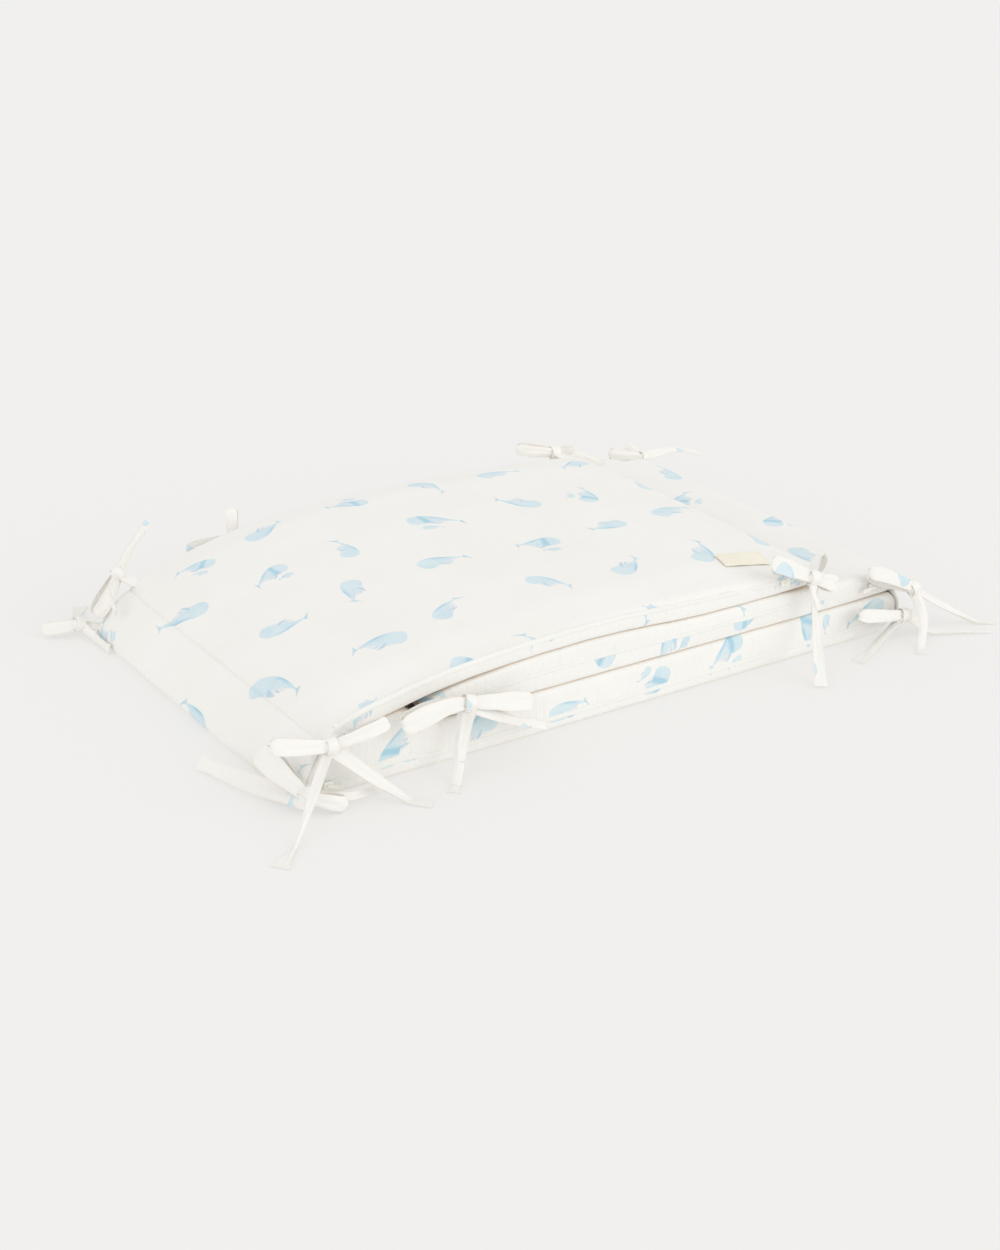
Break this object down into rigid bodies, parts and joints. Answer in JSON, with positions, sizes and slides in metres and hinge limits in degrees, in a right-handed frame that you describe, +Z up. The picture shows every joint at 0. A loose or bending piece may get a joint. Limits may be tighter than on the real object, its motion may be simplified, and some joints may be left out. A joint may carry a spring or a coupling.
{
  "type": "folded crib bumper",
  "caption": "Padded cot bumper folded flat in layers, with a concealed zip along each pad's front edge and ribbon bows at its corners.",
  "frame": {"origin": "middle of the underside, on the surface that the bumper rests on", "axes": "+X along the pads towards the closed fold's right end, +Y from the zipped edge to the back edge, +Z up"},
  "size_m": [0.781, 0.5184, 0.1062],
  "materials": {
    "casing": "printed cotton, warm off-white with pale blue whales",
    "placket": "off-white cotton fold over the zip",
    "slider": "cream enamel",
    "label": "plain cream woven tape",
    "ribbon": "the casing's cotton, sewn double"
  },
  "bodies": {
    "root": {"bumper": "casing", "zip_top": "placket", "zip_middle": "placket", "zip_bottom": "placket", "slider_top": "slider", "slider_middle": "slider", "slider_bottom": "slider", "label": "label", "tie_top_front_left": "ribbon", "tie_top_front_right": "ribbon", "tie_top_back_left": "ribbon", "tie_top_back_right": "ribbon", "tie_middle_front_left": "ribbon", "tie_middle_front_right": "ribbon", "tie_middle_back_left": "ribbon", "tie_middle_back_right": "ribbon", "tie_bottom_front_left": "ribbon", "tie_bottom_front_right": "ribbon", "tie_bottom_back_left": "ribbon", "tie_bottom_back_right": "ribbon"}
  },
  "joints": []
}
